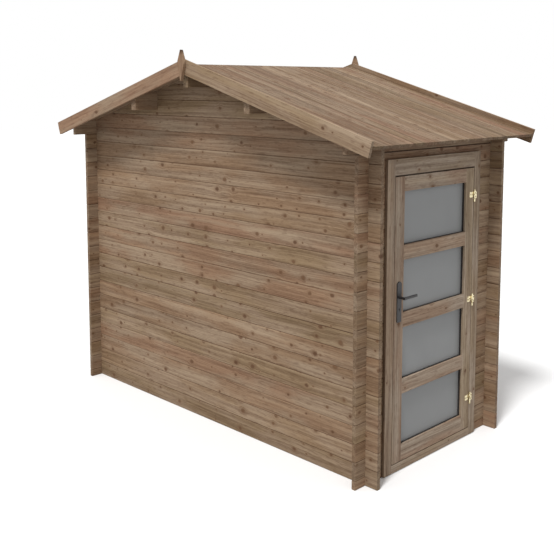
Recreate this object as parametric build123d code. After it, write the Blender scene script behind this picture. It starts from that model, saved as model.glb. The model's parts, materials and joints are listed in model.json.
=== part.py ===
"""Garden shed of interlocking planed wall logs, with a saddle roof and a glazed door in the right-hand eaves wall.

Millimetres. +Z is up and z = 0 is the ground. The origin is under the middle of the shed. The gable walls face -Y and
+Y, and the door wall faces +X.
"""

import os
from math import ceil, cos, radians, sin, tan

from build123d import *

# Wall logs
LOG_COVER = 113.0
LOG_THICK = 28.0
GABLE_LOG_LENGTH = 3000.0
EAVES_LOG_LENGTH = 1500.0
LOG_OVERHANG = 90.0
LOG_BEVEL = 3.5
TONGUE_WIDTH = 9.0
TONGUE_HEIGHT = 7.0
TONGUE_PLAY = 0.5
COURSES_OVER_DOOR = 1
TOP_LOG_FACE = 95.4
SEAM = 0.4
SEAT = 0.3

# Roof
ROOF_PITCH = 16.3
ROOF_BOARD = 18.0
EAVES_REACH = 190.0
GABLE_REACH = 214.0
BARGE_DEPTH = 96.0
BARGE_THICK = 20.0
BARGE_PROUD = 31.0
BARGE_PAST_EAVES = 5.0
FINIAL_THICK = 22.0
FINIAL_HALF_WIDTH = 43.0
FINIAL_TIP_RISE = 61.0
FINIAL_SHOULDER_DROP = 24.0
FINIAL_TAIL_DROP = 145.0
FINIAL_BULGE = 6.0
PURLIN_WIDTH = 50.0
PURLIN_OFFSET = 596.0
RIDGE_PURLIN_DEPTH = 135.0
SIDE_PURLIN_DEPTH = 122.0

# Doorway and door frame
DOOR_CENTRE = -12.0
DOOR_GAP = 6.5
LEAF_WIDTH = 836.0
LEAF_HEIGHT = 1765.0
LEAF_BOTTOM = 61.5
LEAF_THICK = 38.0
FRAME_PROUD = 20.0
FRAME_FACE = 70.0
FRAME_HEAD_LAP = 69.0
FRAME_HEAD_WEB_LEAST = 25.0
FRAME_WEB = 32.5
FRAME_STOP = 15.0
FRAME_FOOT = 5.0

# Door leaf
STILE_WIDTH = 88.0
RAIL_HEIGHT = 90.0
BOTTOM_RAIL_HEIGHT = 101.0
PANES = 4
LIP_DEPTH = 14.0
GLASS_RECESS = 26.0
GLASS_THICK = 4.0
GLASS_BITE = 8.0
GLASS_PLAY = 0.5

# Hinges
TOP_HINGE_DROP = 183.5
BOTTOM_HINGE_RISE = 204.5
HINGE_HEIGHT = 80.0
DOOR_FLAG_REACH = 50.0
FRAME_FLAG_REACH = 32.0
DOOR_FLAG_BOTTOM = -11.0
FRAME_FLAG_BOTTOM = -21.0
FLAG_TOP = 25.0
FLAG_CORNER = 5.0
FLAG_NECK = 17.0
FLAG_GAP = 6.0
HINGE_PLATE = 2.0
BARREL_RADIUS = 6.0
BARREL_LIFT = 0.5
PIN_RADIUS = 3.0
PIN_PLAY = 0.3
KNUCKLE_PLAY = 0.6

# Lever handle
SPINDLE_HEIGHT = 1098.0
PLATE_WIDTH = 42.0
PLATE_OVER_SPINDLE = 97.0
PLATE_UNDER_SPINDLE = 153.0
PLATE_THICK = 6.0
PLATE_CORNER = 9.0
SPINDLE_RADIUS = 5.0
SPINDLE_PLAY = 0.4
NECK_RADIUS = 8.0
LEVER_REACH = 118.0
LEVER_STAND = 46.0
LEVER_HEIGHT = 17.0
LEVER_DEPTH = 13.0
LEVER_ROUND = 5.5
KEYHOLE_DROP = 72.0
KEYHOLE_RADIUS = 5.0
KEYHOLE_SLOT = 4.0
KEYHOLE_TAIL = 14.0

# Places worked out from the sizes above
half_width = GABLE_LOG_LENGTH / 2 - LOG_OVERHANG
half_depth = EAVES_LOG_LENGTH / 2 - LOG_OVERHANG
wall_middle_x = half_width - LOG_THICK / 2
wall_middle_y = half_depth - LOG_THICK / 2
leaf_top = LEAF_BOTTOM + LEAF_HEIGHT
sill_top = LEAF_BOTTOM - DOOR_GAP
head_bottom = leaf_top + DOOR_GAP
door_courses = ceil((head_bottom + FRAME_HEAD_WEB_LEAST) / LOG_COVER + 0.5)
wall_courses = door_courses + COURSES_OVER_DOOR
opening_top = (door_courses - 0.5) * LOG_COVER - SEAT
frame_top = opening_top + FRAME_HEAD_LAP

slope = tan(radians(ROOF_PITCH))
slope_cos = cos(radians(ROOF_PITCH))
slope_sin = sin(radians(ROOF_PITCH))
under_ridge = (wall_courses - 0.5) * LOG_COVER + TOP_LOG_FACE + half_width * slope
ridge_top = under_ridge + ROOF_BOARD / slope_cos
all_courses = round(under_ridge / LOG_COVER)
barge_ridge = ridge_top + BARGE_PROUD / slope_cos
barge_end = half_width + EAVES_REACH + BARGE_PAST_EAVES
barge_back = half_depth + GABLE_REACH - BARGE_THICK
roof_end = barge_back - SEAT
clear = 10.0

frame_front = half_width + FRAME_PROUD
frame_back = half_width - LOG_THICK - FRAME_PROUD
leaf_back = frame_front - LEAF_THICK
stop_front = leaf_back - DOOR_GAP
leaf_left = DOOR_CENTRE - LEAF_WIDTH / 2
leaf_right = DOOR_CENTRE + LEAF_WIDTH / 2
inner_left = leaf_left - DOOR_GAP
inner_right = leaf_right + DOOR_GAP
cut_left = inner_left - FRAME_WEB - SEAT
cut_right = inner_right + FRAME_WEB + SEAT
clasp_front = half_width + SEAT
clasp_back = half_width - LOG_THICK - SEAT
rail_left = leaf_left + STILE_WIDTH
rail_right = leaf_right - STILE_WIDTH
first_pane = LEAF_BOTTOM + BOTTOM_RAIL_HEIGHT
last_pane = leaf_top - RAIL_HEIGHT
pane_height = (last_pane - first_pane - (PANES - 1) * RAIL_HEIGHT) / PANES
glass_front = frame_front - GLASS_RECESS
lever_y = leaf_left + STILE_WIDTH / 2
plate_front = frame_front + PLATE_THICK
plate_back = leaf_back - PLATE_THICK
pin_x = frame_front + BARREL_RADIUS + BARREL_LIFT
pin_y = leaf_right + DOOR_GAP / 2
hinge_heights = (LEAF_BOTTOM + BOTTOM_HINGE_RISE, LEAF_BOTTOM + LEAF_HEIGHT / 2, leaf_top - TOP_HINGE_DROP)


def block(x0, x1, y0, y1, z0, z1):
    """Square-edged piece between two opposite corners."""
    return Pos((x0 + x1) / 2, (y0 + y1) / 2, (z0 + z1) / 2) * Box(x1 - x0, y1 - y0, z1 - z0)


def run_x(outline, x0, x1):
    """Outline of (y, z) points run along X."""
    face = make_face(Polyline(*[(x0, y, z) for y, z in outline], close=True))
    return extrude(face, amount=x1 - x0, dir=(1, 0, 0))


def run_y(outline, y0, y1):
    """Outline of (x, z) points run along Y."""
    face = make_face(Polyline(*[(x, y0, z) for x, z in outline], close=True))
    return extrude(face, amount=y1 - y0, dir=(0, 1, 0))


def save(name, *shapes):
    """Write one named piece, or a group of like pieces that don't touch."""
    solids = [solid for shape in shapes for solid in shape.solids()]
    export_step(Compound(children=solids) if len(solids) > 1 else solids[0], f"parts/{name}.step")


def log_outline(middle, bottom, top):
    """Section of a wall log with its beveled edges."""
    half = LOG_THICK / 2
    flat = half - LOG_BEVEL
    points = [(-half, bottom + LOG_BEVEL), (-half, top - LOG_BEVEL), (-flat, top), (flat, top)]
    points += [(half, top - LOG_BEVEL), (half, bottom + LOG_BEVEL), (flat, bottom), (-flat, bottom)]
    return [(middle + across, z) for across, z in points]


def wall_log(course_bottom, top, middle, start, end, crossing, tongue=True):
    """Log along X, notched over the logs that cross it at either side of the middle.

    The notch takes the lower half of the log. The tongue and the groove run between the notches.
    """
    bottom = max(course_bottom, 0.0)
    log = run_x(log_outline(middle, bottom, top), start, end)
    notch_half = LOG_THICK / 2 + SEAT
    inner = crossing - notch_half
    run = (max(start, -inner), min(end, inner))
    if tongue:
        half = TONGUE_WIDTH / 2
        log += block(*run, middle - half, middle + half, top - TONGUE_HEIGHT, top + TONGUE_HEIGHT)
    if course_bottom > 0:
        half = TONGUE_WIDTH / 2 + TONGUE_PLAY
        groove_top = bottom + TONGUE_HEIGHT + TONGUE_PLAY
        log -= block(*run, middle - half, middle + half, bottom - clear, groove_top)
    notch_top = course_bottom + LOG_COVER / 2
    for place in (-crossing, crossing):
        if start < place < end and notch_top > bottom:
            log -= block(place - notch_half, place + notch_half, middle - LOG_THICK, middle + LOG_THICK,
                         bottom - clear, notch_top)
    return log


def gable_log(course, middle):
    """Full-length log of a gable wall."""
    bottom = course * LOG_COVER
    end = GABLE_LOG_LENGTH / 2
    return wall_log(bottom, bottom + LOG_COVER - SEAM, middle, -end, end, wall_middle_x)


def eaves_log(course, side, start, end, top=None, tongue=True):
    """Log of an eaves wall from start to end along Y.

    Its courses lie half a log lower than those of the gables, so course 0 is a half log.
    """
    bottom = (course - 0.5) * LOG_COVER
    top = top or bottom + LOG_COVER - SEAM
    return Rot(0, 0, 90) * wall_log(bottom, top, -side * wall_middle_x, start, end, wall_middle_y, tongue)


def under_roof(x):
    """Height of the underside of the roof boards over x."""
    return under_ridge - abs(x) * slope


def below_roof():
    """All the space under the roof boards, less the seat."""
    wide = GABLE_LOG_LENGTH
    outline = [(-wide, -clear), (wide, -clear), (wide, under_roof(wide) - SEAT), (0, under_ridge - SEAT)]
    outline += [(-wide, under_roof(wide) - SEAT)]
    return run_y(outline, -EAVES_LOG_LENGTH, EAVES_LOG_LENGTH)


attic = below_roof()
side_purlin_bottom = under_roof(PURLIN_OFFSET) - SIDE_PURLIN_DEPTH
purlins = {
    "ridge_purlin": (0.0, under_ridge - RIDGE_PURLIN_DEPTH),
    "back_side_purlin": (-PURLIN_OFFSET, side_purlin_bottom),
    "door_side_purlin": (PURLIN_OFFSET, side_purlin_bottom),
}


def purlin(x, bottom):
    """Purlin with its top planed to the roof."""
    half = PURLIN_WIDTH / 2
    return block(x - half, x + half, -roof_end, roof_end, bottom, ridge_top) & attic


def peak_log(course, middle):
    """Log of a gable above the eaves, cut to the roof and round the purlins."""
    bottom = course * LOG_COVER
    last = course == all_courses - 1
    top = ridge_top if last else bottom + LOG_COVER - SEAM
    reach = half_width - LOG_THICK - SEAT
    log = wall_log(bottom, top, middle, -reach, reach, wall_middle_x, tongue=not last) & attic
    for x, under in purlins.values():
        half = PURLIN_WIDTH / 2 + SEAT
        log -= block(x - half, x + half, middle - LOG_THICK, middle + LOG_THICK, under - SEAT, ridge_top)
    return log


def top_log(side):
    """Top log of an eaves wall: planed to the roof and long enough to carry the bargeboards."""
    return eaves_log(wall_courses, side, -roof_end, roof_end, ridge_top, tongue=False) & attic


def make_walls():
    """Gable walls, back wall and door wall."""
    for name, middle in (("front", -wall_middle_y), ("rear", wall_middle_y)):
        save(f"{name}_gable_wall", *[gable_log(course, middle) for course in range(wall_courses)])
        save(f"{name}_gable_peak", *[peak_log(course, middle) for course in range(wall_courses, all_courses)])
    end = EAVES_LOG_LENGTH / 2
    save("back_wall", *[eaves_log(course, -1, -end, end) for course in range(wall_courses)])
    save("back_wall_top_log", top_log(-1))
    beside = range(door_courses)
    save("door_wall_left", *[eaves_log(course, 1, -end, cut_left) for course in beside])
    save("door_wall_right", *[eaves_log(course, 1, cut_right, end) for course in beside])
    save("door_wall_over_door", *[eaves_log(course, 1, -end, end) for course in range(door_courses, wall_courses)])
    save("door_wall_top_log", top_log(1))


def roof_slope(side):
    """Boards of one roof slope, as one deck from the ridge to the eaves."""
    near = SEAT / 2
    far = half_width + EAVES_REACH
    drop_x = ROOF_BOARD * slope_sin
    outline = [(near, ridge_top - near * slope), (far, ridge_top - far * slope)]
    outline += [(far - drop_x, ridge_top - far * slope - ROOF_BOARD * slope_cos), (near, under_roof(near))]
    return run_y([(side * x, z) for x, z in outline], -roof_end, roof_end)


def bargeboard(side, face):
    """Board under the sloping edge of a gable: plumb at the ridge, square at the eaves."""
    near = SEAT / 2
    drop_x = BARGE_DEPTH * slope_sin
    low_end = barge_ridge - barge_end * slope
    outline = [(near, barge_ridge - near * slope), (barge_end, low_end)]
    outline += [(barge_end - drop_x, low_end - BARGE_DEPTH * slope_cos)]
    outline += [(near, barge_ridge - BARGE_DEPTH / slope_cos - near * slope)]
    outline = [(side * x, z) for x, z in outline]
    y0, y1 = sorted((face * barge_back, face * (barge_back + BARGE_THICK)))
    return run_y(outline, y0, y1)


def finial(face):
    """Spearhead board over the joint of two bargeboards."""
    shoulder = barge_ridge - FINIAL_SHOULDER_DROP
    tip = barge_ridge + FINIAL_TIP_RISE
    tail = barge_ridge - FINIAL_TAIL_DROP
    y = barge_back + BARGE_THICK + SEAT
    edges = []
    for side in (-1, 1):
        corner = Vector(side * FINIAL_HALF_WIDTH, y, shoulder)
        point = Vector(0, y, tip)
        middle = (corner + point) * 0.5 + Vector(side * FINIAL_BULGE, 0, FINIAL_BULGE / 2)
        edges.append(ThreePointArc(corner, middle, point))
        edges.append(Line(corner, Vector(0, y, tail)))
    board = extrude(make_face(edges), amount=FINIAL_THICK, dir=(0, 1, 0))
    return board if face > 0 else mirror(board, about=Plane.XZ)


def make_roof():
    """Purlins, decks, bargeboards and finials."""
    for name, (x, bottom) in purlins.items():
        save(name, purlin(x, bottom))
    for side_name, side in (("door_side", 1), ("back_side", -1)):
        save(f"{side_name}_roof", roof_slope(side))
        for face_name, face in (("front", -1), ("rear", 1)):
            save(f"{face_name}_bargeboard_{side_name}", bargeboard(side, face))
    for face_name, face in (("front", -1), ("rear", 1)):
        save(f"{face_name}_finial", finial(face))


def frame_outline(inner, away, web, edge):
    """Section of a jamb or head, from the doorway outwards: stop, web and the casings either side of the logs."""
    stop = inner - away * FRAME_STOP
    return [(frame_front, inner), (frame_front, edge), (clasp_front, edge), (clasp_front, web), (clasp_back, web),
            (clasp_back, edge), (frame_back, edge), (frame_back, stop), (stop_front, stop), (stop_front, inner)]


def jamb(inner, away):
    """Upright of the door frame. Its casings pass the log over the doorway and its web stops under it."""
    edge = inner + away * FRAME_FACE
    section = frame_outline(inner, away, inner + away * FRAME_WEB, edge)
    outline = [(x, y, FRAME_FOOT) for x, y in section]
    post = extrude(make_face(Polyline(*outline, close=True)), amount=frame_top - FRAME_FOOT, dir=(0, 0, 1))
    y0, y1 = sorted((inner - away * (FRAME_STOP + clear), edge + away * clear))
    return post - block(clasp_back, clasp_front, y0, y1, opening_top, frame_top + clear)


def between_jambs(outline):
    """Cross member of the door frame, cut back at both ends for the stops of the jambs."""
    member = run_y(outline, inner_left + SEAT, inner_right - SEAT)
    for inner, away in ((inner_left, -1), (inner_right, 1)):
        y0, y1 = sorted((inner + away * clear, inner - away * (FRAME_STOP + SEAT)))
        member -= block(frame_back - clear, stop_front + SEAT, y0, y1, -clear, frame_top + clear)
    return member


def make_frame():
    """Door frame: two jambs that clasp the log ends, a head and a threshold between them."""
    save("door_jamb_left", jamb(inner_left, -1))
    save("door_jamb_right", jamb(inner_right, 1))
    save("door_frame_head", between_jambs(frame_outline(head_bottom, 1, opening_top, frame_top)))
    stop_top = sill_top + FRAME_STOP
    sill = [(frame_front, sill_top), (frame_front, FRAME_FOOT), (frame_back, FRAME_FOOT), (frame_back, stop_top),
            (stop_front, stop_top), (stop_front, sill_top)]
    save("door_threshold", between_jambs(sill))


def make_leaf():
    """Door leaf: two stiles, five rails and four panes let into them."""
    groove_front = frame_front - LIP_DEPTH
    groove_back = glass_front - GLASS_THICK - GLASS_PLAY
    bite = GLASS_BITE + GLASS_PLAY
    stiles = {
        "left": (leaf_left, leaf_left + STILE_WIDTH),
        "right": (leaf_right - STILE_WIDTH, leaf_right),
    }
    bore = Pos(leaf_back, lever_y, SPINDLE_HEIGHT) * Rot(0, 90, 0)
    bore *= Cylinder(SPINDLE_RADIUS + SPINDLE_PLAY, 2 * LEAF_THICK + clear)
    for name, (y0, y1) in stiles.items():
        stile = block(leaf_back, frame_front, y0, y1, LEAF_BOTTOM, leaf_top)
        stile -= block(groove_back, groove_front, rail_left - bite, rail_right + bite,
                       first_pane - bite, last_pane + bite)
        save(f"door_stile_{name}", stile - bore if name == "left" else stile)
    rails = []
    panes = []
    rail_bottom = LEAF_BOTTOM
    for number in range(PANES + 1):
        rail_top = first_pane + number * (pane_height + RAIL_HEIGHT)
        rail = block(leaf_back, frame_front, rail_left + SEAT, rail_right - SEAT, rail_bottom, rail_top)
        if number > 0:
            rail -= block(groove_back, groove_front, rail_left, rail_right, rail_bottom, rail_bottom + bite)
        if number < PANES:
            rail -= block(groove_back, groove_front, rail_left, rail_right, rail_top - bite, rail_top)
            panes.append(block(glass_front - GLASS_THICK, glass_front, rail_left - GLASS_BITE,
                               rail_right + GLASS_BITE, rail_top - GLASS_BITE, rail_top + pane_height + GLASS_BITE))
        rails.append(rail)
        rail_bottom = rail_top + pane_height
    save("door_rails", *rails)
    save("door_panes", *panes)


def hinge_part(height, away):
    """One half of a lift-off hinge: the flag and upper knuckle on the door, or the flag, lower knuckle and pin below.

    Each flag stands off the barrel and joins its knuckle by a neck.
    """
    half = HINGE_HEIGHT / 2
    back = frame_front + BARREL_LIFT
    front = frame_front + HINGE_PLATE
    if away < 0:
        flag_bottom, neck_bottom = height + DOOR_FLAG_BOTTOM, height + FLAG_TOP - FLAG_NECK
        knuckle_bottom, knuckle_top = height + KNUCKLE_PLAY / 2, height + half
    else:
        flag_bottom, neck_bottom = height + FRAME_FLAG_BOTTOM, height + FRAME_FLAG_BOTTOM
        knuckle_bottom, knuckle_top = height - half, height - KNUCKLE_PLAY / 2
    reach = away * (DOOR_FLAG_REACH if away < 0 else FRAME_FLAG_REACH)
    y0, y1 = sorted((pin_y + away * (BARREL_RADIUS + FLAG_GAP), pin_y + reach))
    flag = block(frame_front, front, y0, y1, flag_bottom, height + FLAG_TOP)
    part = chamfer(flag.edges().filter_by(Axis.X), FLAG_CORNER)
    y0, y1 = sorted((pin_y, pin_y + away * (BARREL_RADIUS + FLAG_GAP + FLAG_CORNER)))
    part += block(back, front, y0, y1, neck_bottom, neck_bottom + FLAG_NECK)
    middle = (knuckle_bottom + knuckle_top) / 2
    part += Pos(pin_x, pin_y, middle) * Cylinder(BARREL_RADIUS, knuckle_top - knuckle_bottom)
    if away < 0:
        return part - Pos(pin_x, pin_y, height) * Cylinder(PIN_RADIUS + PIN_PLAY, HINGE_HEIGHT + clear)
    pin_top = height + half
    return part + Pos(pin_x, pin_y, (knuckle_bottom + pin_top) / 2) * Cylinder(PIN_RADIUS, pin_top - knuckle_bottom)


def handle_plate(x0, x1):
    """Long plate behind a lever: round at the top, bored for the spindle and cut for the key."""
    half = PLATE_WIDTH / 2
    top = SPINDLE_HEIGHT + PLATE_OVER_SPINDLE
    plate = block(x0, x1, lever_y - half, lever_y + half, SPINDLE_HEIGHT - PLATE_UNDER_SPINDLE, top - half)
    plate = fillet(plate.edges().filter_by(Axis.X).group_by(Axis.Z)[0], PLATE_CORNER)
    middle = (x0 + x1) / 2
    turned = Rot(0, 90, 0)
    plate += Pos(middle, lever_y, top - half) * turned * Cylinder(half, x1 - x0)
    plate -= Pos(middle, lever_y, SPINDLE_HEIGHT) * turned * Cylinder(SPINDLE_RADIUS + SPINDLE_PLAY, LEAF_THICK)
    key_height = SPINDLE_HEIGHT - KEYHOLE_DROP
    plate -= Pos(middle, lever_y, key_height) * turned * Cylinder(KEYHOLE_RADIUS, LEAF_THICK)
    slot = KEYHOLE_SLOT / 2
    tail = key_height - KEYHOLE_TAIL
    return plate - block(x0 - clear, x1 + clear, lever_y - slot, lever_y + slot, tail, key_height)


def lever(plate_face, out):
    """Grip on one side of the door: a round neck and a bar with rounded edges that points to the hinge side."""
    start = plate_face + out * SPINDLE_PLAY
    grip = start + out * LEVER_STAND
    neck = Pos((start + grip) / 2, lever_y, SPINDLE_HEIGHT) * Rot(0, 90, 0) * Cylinder(NECK_RADIUS, LEVER_STAND)
    end = Plane((grip - out * LEVER_DEPTH / 2, lever_y - NECK_RADIUS, SPINDLE_HEIGHT), (1, 0, 0), (0, 1, 0))
    section = end * RectangleRounded(LEVER_DEPTH, LEVER_HEIGHT, LEVER_ROUND)
    return neck + extrude(section, LEVER_REACH + NECK_RADIUS)


def make_fittings():
    """Hinges, handle plates and the lever handle on its spindle."""
    save("door_hinge_flaps", *[hinge_part(height, -1) for height in hinge_heights])
    save("frame_hinge_flaps", *[hinge_part(height, 1) for height in hinge_heights])
    save("handle_plate_outside", handle_plate(frame_front, plate_front))
    save("handle_plate_inside", handle_plate(plate_back, leaf_back))
    spindle = Pos((plate_front + plate_back) / 2, lever_y, SPINDLE_HEIGHT) * Rot(0, 90, 0)
    spindle *= Cylinder(SPINDLE_RADIUS, plate_front - plate_back + 2 * NECK_RADIUS)
    save("lever_handle", lever(plate_front, 1) + lever(plate_back, -1) + spindle)


os.makedirs("parts", exist_ok=True)
make_walls()
make_roof()
make_frame()
make_leaf()
make_fittings()
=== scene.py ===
"""Looks of a garden shed built of planed wall logs, laid out as an add-on.

Metres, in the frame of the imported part: +Z up, gable walls facing -Y and +Y, door wall facing +X.
"""

import json
from math import ceil, cos, pi, radians, sin, tan

import bmesh
import bpy
from bpy.props import FloatProperty, FloatVectorProperty, PointerProperty
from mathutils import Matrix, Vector


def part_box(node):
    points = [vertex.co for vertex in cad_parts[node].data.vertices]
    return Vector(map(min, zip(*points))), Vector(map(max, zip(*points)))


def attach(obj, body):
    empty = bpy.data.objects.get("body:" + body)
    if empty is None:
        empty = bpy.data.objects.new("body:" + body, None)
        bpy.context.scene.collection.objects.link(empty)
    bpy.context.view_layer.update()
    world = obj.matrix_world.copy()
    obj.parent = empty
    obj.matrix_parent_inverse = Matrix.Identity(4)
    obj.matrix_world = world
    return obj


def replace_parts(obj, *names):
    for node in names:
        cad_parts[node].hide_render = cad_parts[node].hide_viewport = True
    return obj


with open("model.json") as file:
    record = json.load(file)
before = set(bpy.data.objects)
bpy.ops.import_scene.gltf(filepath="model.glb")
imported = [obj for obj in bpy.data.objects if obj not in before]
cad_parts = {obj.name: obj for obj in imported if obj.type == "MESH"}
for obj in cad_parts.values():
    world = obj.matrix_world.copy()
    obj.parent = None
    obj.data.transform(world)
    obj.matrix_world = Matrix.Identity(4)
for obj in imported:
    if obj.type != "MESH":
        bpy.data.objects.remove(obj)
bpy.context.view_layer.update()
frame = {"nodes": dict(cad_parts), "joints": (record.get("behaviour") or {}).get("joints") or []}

bl_info = {
    "name": "Log Shed Looks",
    "version": (1, 0, 0),
    "blender": (4, 5, 0),
    "location": "3D View > Sidebar > Shed",
    "description": "Roof boards, fixings, finishes and stage for a garden shed of planed wall logs",
    "category": "Object",
}

CABIN = "cabin"
DOOR = "door"

# Sizes that the finishes share with the construction
ROOF_PITCH = radians(16.3)
ROOF_BOARD = 0.018
LOG_COVER = 0.113
PANES = 4
RAIL_HEIGHT = 0.09
GLASS_BITE = 0.008
LEAF_GAP = 0.0065
FRAME_PROUD = 0.02
HINGE_PLATE = 0.002
BOTTOM_HINGE_RISE = 0.2045
TOP_HINGE_DROP = 0.1835

# Both faces of a roof board's tongue, in shares of its thickness down from its top
TONGUE_TOP = 0.38
TONGUE_FOOT = 0.68

# Small details
# Width of the dark bands: painted shade in the gaps at the door, and a dark band on the joint over the door
GAP_SHADE_AND_STAIN = 0.004
TIP_STAIN = 0.04
RIDGE_NAIL = 0.018
NAIL_HEIGHT = 0.0012
SCREW_HEIGHT = 0.0014

# Rings of a nail's or screw's head, in shares of its radius and height. The first is sunk in the face
HEAD_RINGS = ((1.0, -0.3), (1.0, 0.45), (0.62, 0.9))

# How far the screws of each flap lie beside the pin and above the middle of their hinge
HINGE_SCREWS = {"door_hinge_flaps": ((-0.022, 0.007), (-0.040, 0.007)),
                "frame_hinge_flaps": ((0.022, -0.010), (0.022, 0.014))}

SENSOR_WIDTH = 36.0
VIEW_REACH = 200.0
HALF = 0.5

# Where the numbers of each kind of board start, so that no two boards look alike
REAR_GABLE_START = 60.0
BACK_WALL_START = 130.0
DOOR_WALL_STEP = 70.0
BESIDE_DOOR_STEP = 35.0
PURLIN_START = 300.0
BARGEBOARD_START = 320.0
FINIAL_START = 330.0
JAMB_START = 340.0
FRAME_CROSS_START = 350.0
STILE_START = 360.0
RAIL_START = 370.0
ROOF_START = 400.0
ROOF_SIDE_STEP = 40.0
SECOND_DRAW = 311.5

pitch_cos = cos(ROOF_PITCH)
pitch_sin = sin(ROOF_PITCH)
deck_low, deck_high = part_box("door_side_roof")
ridge_top = deck_high.z + deck_low.x * tan(ROOF_PITCH)
leaf_low, leaf_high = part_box("door_rails")
glass_low, glass_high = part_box("door_panes")
frame_low, frame_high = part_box("door_frame_head")
finial_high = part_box("front_finial")[1]
over_door_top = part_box("door_wall_top_log")[0].z
swing_pin = Vector(next(joint["pos_m"] for joint in frame["joints"] if joint["name"] == "door_swing"))
hinge_heights = (leaf_low.z + BOTTOM_HINGE_RISE, swing_pin.z, leaf_high.z - TOP_HINGE_DROP)
pane_pitch = (glass_high.z - glass_low.z - 2 * GLASS_BITE + RAIL_HEIGHT) / PANES

GABLE_WALL_NODES = ("front_gable_wall", "front_gable_peak", "rear_gable_wall", "rear_gable_peak")
EAVES_WALL_NODES = ("back_wall", "back_wall_top_log", "door_wall_left", "door_wall_right",
                    "door_wall_over_door", "door_wall_top_log")
PURLIN_NODES = ("ridge_purlin", "back_side_purlin", "door_side_purlin")
BARGEBOARD_NODES = ("front_bargeboard_back_side", "front_bargeboard_door_side",
                    "rear_bargeboard_back_side", "rear_bargeboard_door_side")
FINIAL_NODES = ("front_finial", "rear_finial")
JAMB_NODES = ("door_jamb_left", "door_jamb_right")
FRAME_CROSS_NODES = ("door_frame_head", "door_threshold")
STILE_NODES = ("door_stile_left", "door_stile_right")
HANDLE_NODES = ("handle_plate_outside", "handle_plate_inside", "lever_handle")
HINGE_NODES = {"door_hinge_flaps": DOOR, "frame_hinge_flaps": CABIN}


class Shade:
    """A value or colour on its way through a finish. Arithmetic on values adds Math nodes."""

    def __init__(self, finish, socket):
        self.finish = finish
        self.socket = socket

    def math(self, operation, *terms):
        """A Math node on this value and others."""
        return self.finish.node("ShaderNodeMath", {"operation": operation}, dict(enumerate(terms)))

    def __add__(self, other):
        return self.math("ADD", self, other)

    def __radd__(self, other):
        return self.math("ADD", other, self)

    def __sub__(self, other):
        return self.math("SUBTRACT", self, other)

    def __rsub__(self, other):
        return self.math("SUBTRACT", other, self)

    def __mul__(self, other):
        return self.math("MULTIPLY", self, other)

    def __rmul__(self, other):
        return self.math("MULTIPLY", other, self)

    def __truediv__(self, other):
        return self.math("DIVIDE", self, other)

    def __rtruediv__(self, other):
        return self.math("DIVIDE", other, self)

    def __gt__(self, other):
        return self.math("GREATER_THAN", self, other)

    def __lt__(self, other):
        return self.math("LESS_THAN", self, other)

    def __abs__(self):
        return self.math("ABSOLUTE", self)

    def floor(self):
        """The whole part of the value."""
        return self.math("FLOOR", self)

    def fraction(self):
        """What is over the whole part of the value."""
        return self.math("FRACT", self)

    def root(self):
        """The square root."""
        return self.math("SQRT", self)

    def sine(self):
        """The sine of the value in radians."""
        return self.math("SINE", self)

    def step(self, low, high, to_low=0.0, to_high=1.0):
        """A soft step between two levels. The levels may fall."""
        return self.finish.node("ShaderNodeMapRange", {"interpolation_type": "SMOOTHSTEP"},
                                {"Value": self, "From Min": low, "From Max": high,
                                 "To Min": to_low, "To Max": to_high})

    def parts(self):
        """The three parts of a vector or colour."""
        split = self.finish.node("ShaderNodeSeparateXYZ", {}, {0: self})
        return [Shade(self.finish, output) for output in split.socket.node.outputs]

    def scaled(self, factor):
        """A colour made lighter or darker."""
        return self.finish.node("ShaderNodeVectorMath", {"operation": "SCALE"},
                                {"Vector": self, "Scale": factor})

    def output(self, name):
        """Another output of the same node."""
        return Shade(self.finish, self.socket.node.outputs[name])


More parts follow.
